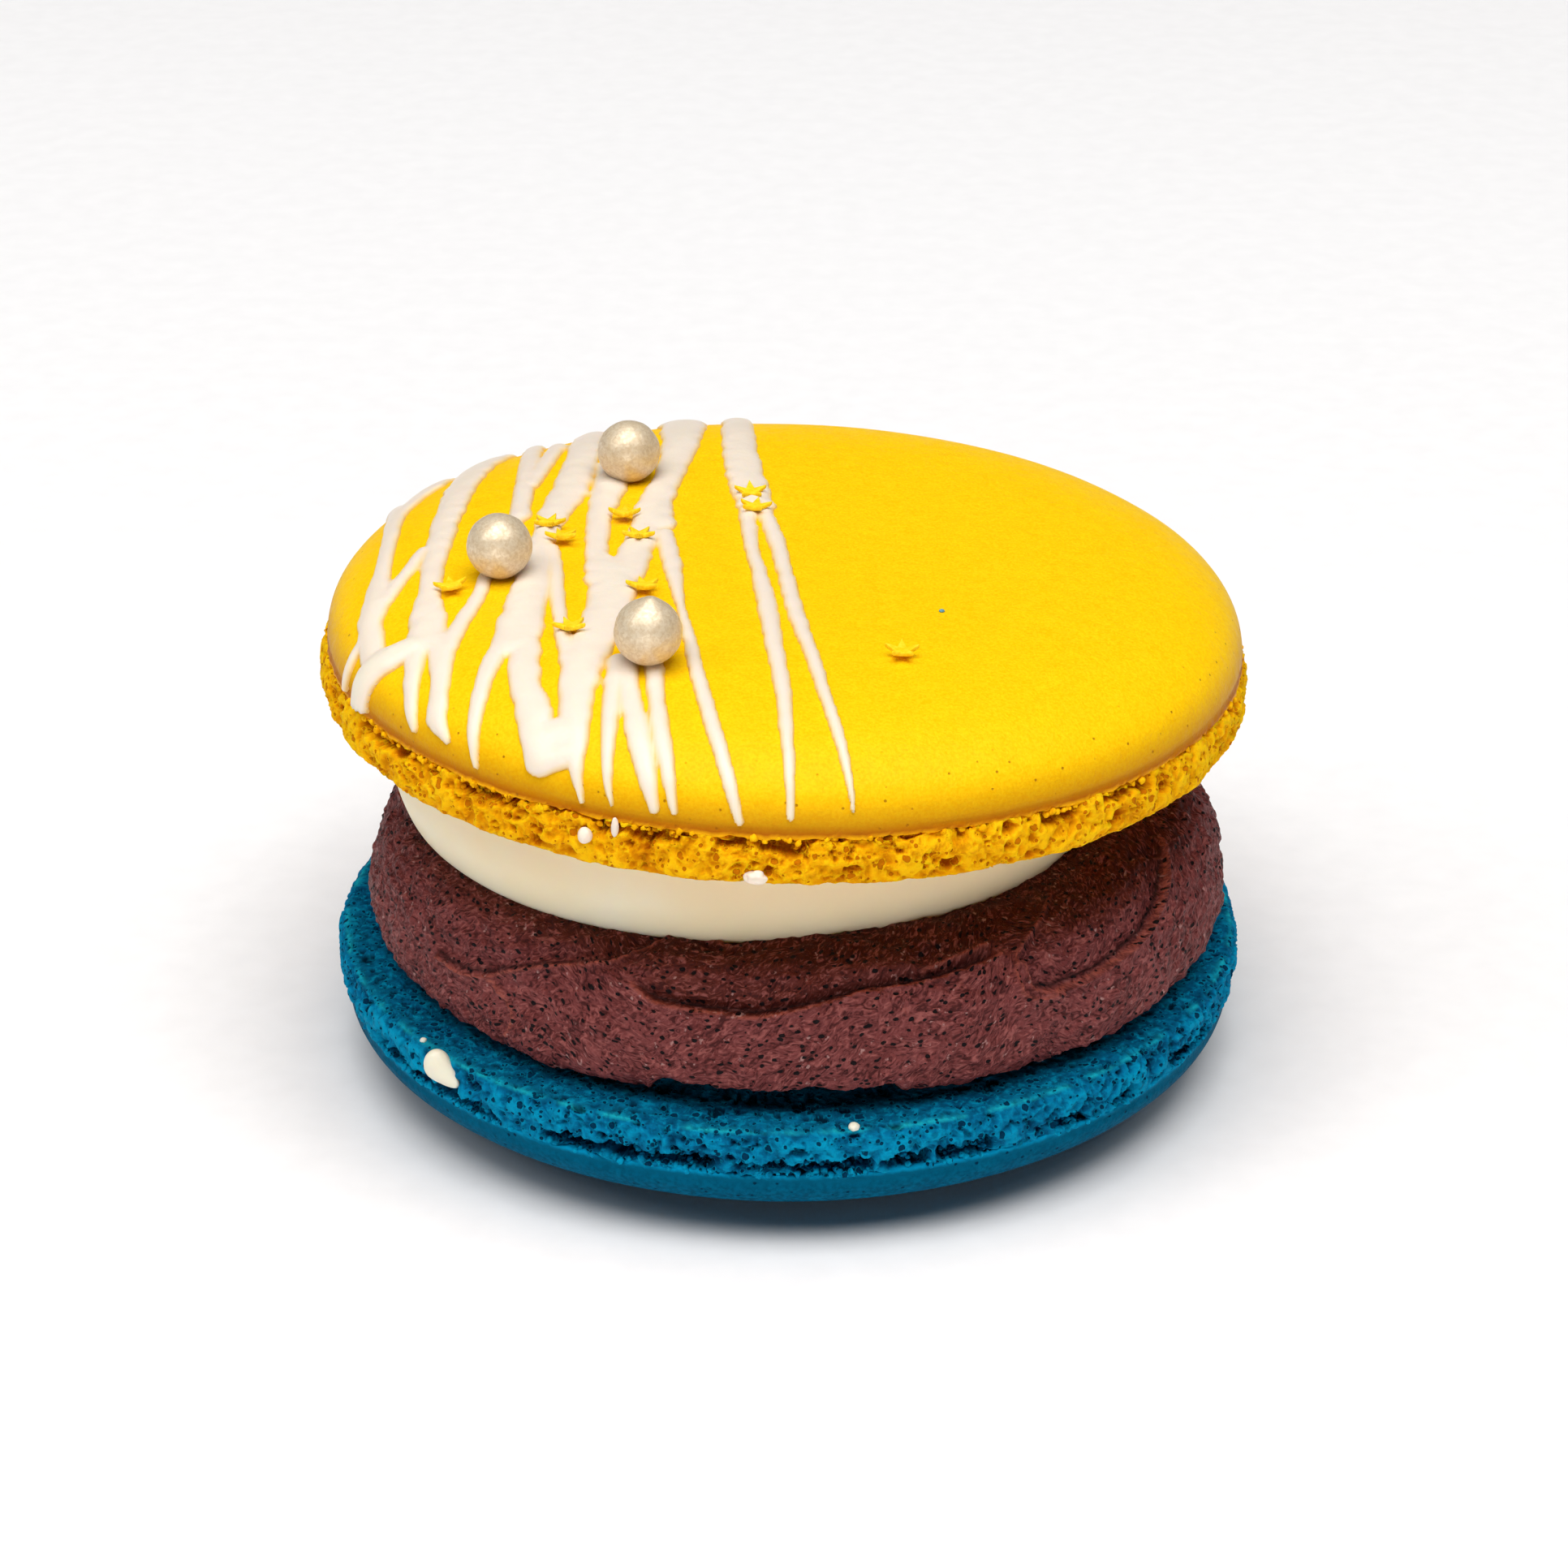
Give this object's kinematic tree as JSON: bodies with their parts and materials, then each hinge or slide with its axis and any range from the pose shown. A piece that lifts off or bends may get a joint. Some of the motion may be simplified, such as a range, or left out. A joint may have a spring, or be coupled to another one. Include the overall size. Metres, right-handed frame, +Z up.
{
  "type": "french macaron",
  "caption": "Round french macaron: teal shell below, plum and ivory cream discs between, and a yellow shell with white drizzle, star confetti and sugar pearls.",
  "frame": {"origin": "centre of the flat spot under the lower shell that the macaron rests on", "axes": "+Z up through the layers, -Y towards the front, +X to the right, the side the upper shell tilts down to"},
  "size_m": [0.0568, 0.0572, 0.0366],
  "materials": {
    "shell_teal": "matte baked almond shell coloured teal blue, smooth cap and crumbly foot",
    "buttercream_plum": "semi-matte porous plum buttercream with palette-knife marks",
    "cream_ivory": "smooth satin ivory cream",
    "shell_yellow": "satin baked almond shell coloured bright yellow, smooth cap and crumbly foot",
    "pearl_sugar": "cream sugar pearl with a soft pearly lustre",
    "drizzle_white": "satin white chocolate drizzle, thin and yellowish at its tips",
    "confetti_yellow": "matte yellow sugar confetti"
  },
  "bodies": {
    "root": {"shell_bottom": "shell_teal", "filling_plum": "buttercream_plum", "filling_cream": "cream_ivory", "shell_top": "shell_yellow", "pearl_back": "pearl_sugar", "pearl_left": "pearl_sugar", "pearl_front": "pearl_sugar"}
  },
  "joints": []
}
